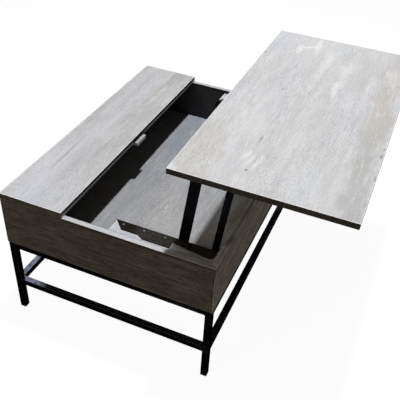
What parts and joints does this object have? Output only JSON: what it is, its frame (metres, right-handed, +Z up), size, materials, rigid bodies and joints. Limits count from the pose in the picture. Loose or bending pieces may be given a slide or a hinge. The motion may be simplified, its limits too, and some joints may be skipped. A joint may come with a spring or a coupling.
{
  "type": "lift top coffee table",
  "caption": "Coffee table with a storage box on a square tube frame; most of its top swings up and out on parallel arms, the rear strip stays fixed.",
  "frame": {"origin": "on the floor, under the centre of the base", "axes": "+Z up, X along the length, -Y the way the lift top swings out, +Y the fixed strip's side"},
  "size_m": [0.918, 0.9706, 0.7126],
  "materials": {
    "top_board": "grey-washed wood grain, matt",
    "side_board": "dark brown wood grain, matt",
    "inner_board": "grey wood grain, matt",
    "dowel_wood": "bare beech",
    "black_steel": "black powder coat",
    "black_fastener": "black oxide",
    "zinc_steel": "zinc plated",
    "light_plastic": "matt",
    "black_plastic": "matt",
    "pad_rubber": "clear soft pads"
  },
  "bodies": {
    "base": {"base_bracket_far": "black_steel", "base_bracket_near": "black_steel", "bottom_panel": "inner_board", "bracket_screws": "zinc_steel", "cam_bolts": "zinc_steel", "cam_locks": "zinc_steel", "catch_housing": "light_plastic", "catch_magnet": "zinc_steel", "catch_screws": "zinc_steel", "end_panel_far": "side_board", "end_panel_near": "side_board", "end_rail_far": "black_steel", "end_rail_near": "black_steel", "end_stretcher_far": "black_steel", "end_stretcher_near": "black_steel", "fixed_top_strip": "top_board", "foot_plugs": "black_plastic", "frame_bolts": "black_fastener", "frame_screws": "black_fastener", "front_lower_pivot_pins": "zinc_steel", "front_panel": "side_board", "leg_far_front": "black_steel", "leg_far_rear": "black_steel", "leg_near_front": "black_steel", "leg_near_rear": "black_steel", "long_rail_front": "black_steel", "long_rail_rear": "black_steel", "long_stretcher_front": "black_steel", "long_stretcher_rear": "black_steel", "mechanism_shelf_far": "inner_board", "mechanism_shelf_near": "inner_board", "panel_dowels": "dowel_wood", "raised_stop_pins": "zinc_steel", "rear_lower_pivot_pins": "zinc_steel", "rear_panel": "side_board", "shelf_dowels": "dowel_wood", "strip_dowels": "dowel_wood", "tube_end_plugs": "black_plastic"},
    "rear_arms": {"rear_arm_near": "black_steel", "rear_arm_far": "black_steel"},
    "front_arms": {"front_arm_near": "black_steel", "front_arm_far": "black_steel"},
    "lift": {"lift_top": "top_board", "top_bracket_near": "black_steel", "top_bracket_far": "black_steel", "rear_upper_pivot_pins": "zinc_steel", "front_upper_pivot_pins": "zinc_steel", "top_bracket_screws": "zinc_steel", "strike_plate": "zinc_steel", "strike_screws": "zinc_steel", "bumper_pads": "pad_rubber"}
  },
  "joints": [
    {"name": "rear_arm_fold", "type": "hinge", "parent": "base", "child": "rear_arms", "pos_m": [0, -0.201, 0.40391], "axis": [-1, 0, 0], "range_deg": [0, 92.6]},
    {"name": "front_arm_fold", "type": "hinge", "parent": "base", "child": "front_arms", "pos_m": [0, -0.2915, 0.40391], "axis": [-1, 0, 0], "range_deg": [0, 92.6]},
    {"name": "lift_top_level", "type": "hinge", "parent": "rear_arms", "child": "lift", "pos_m": [0, -0.23655, 0.67761], "axis": [-1, 0, 0], "range_deg": [-92.6, 0]}
  ],
  "couplings": [
    {"joint": "front_arm_fold", "follows": "rear_arm_fold", "ratio": 1},
    {"joint": "lift_top_level", "follows": "rear_arm_fold", "ratio": -1}
  ]
}
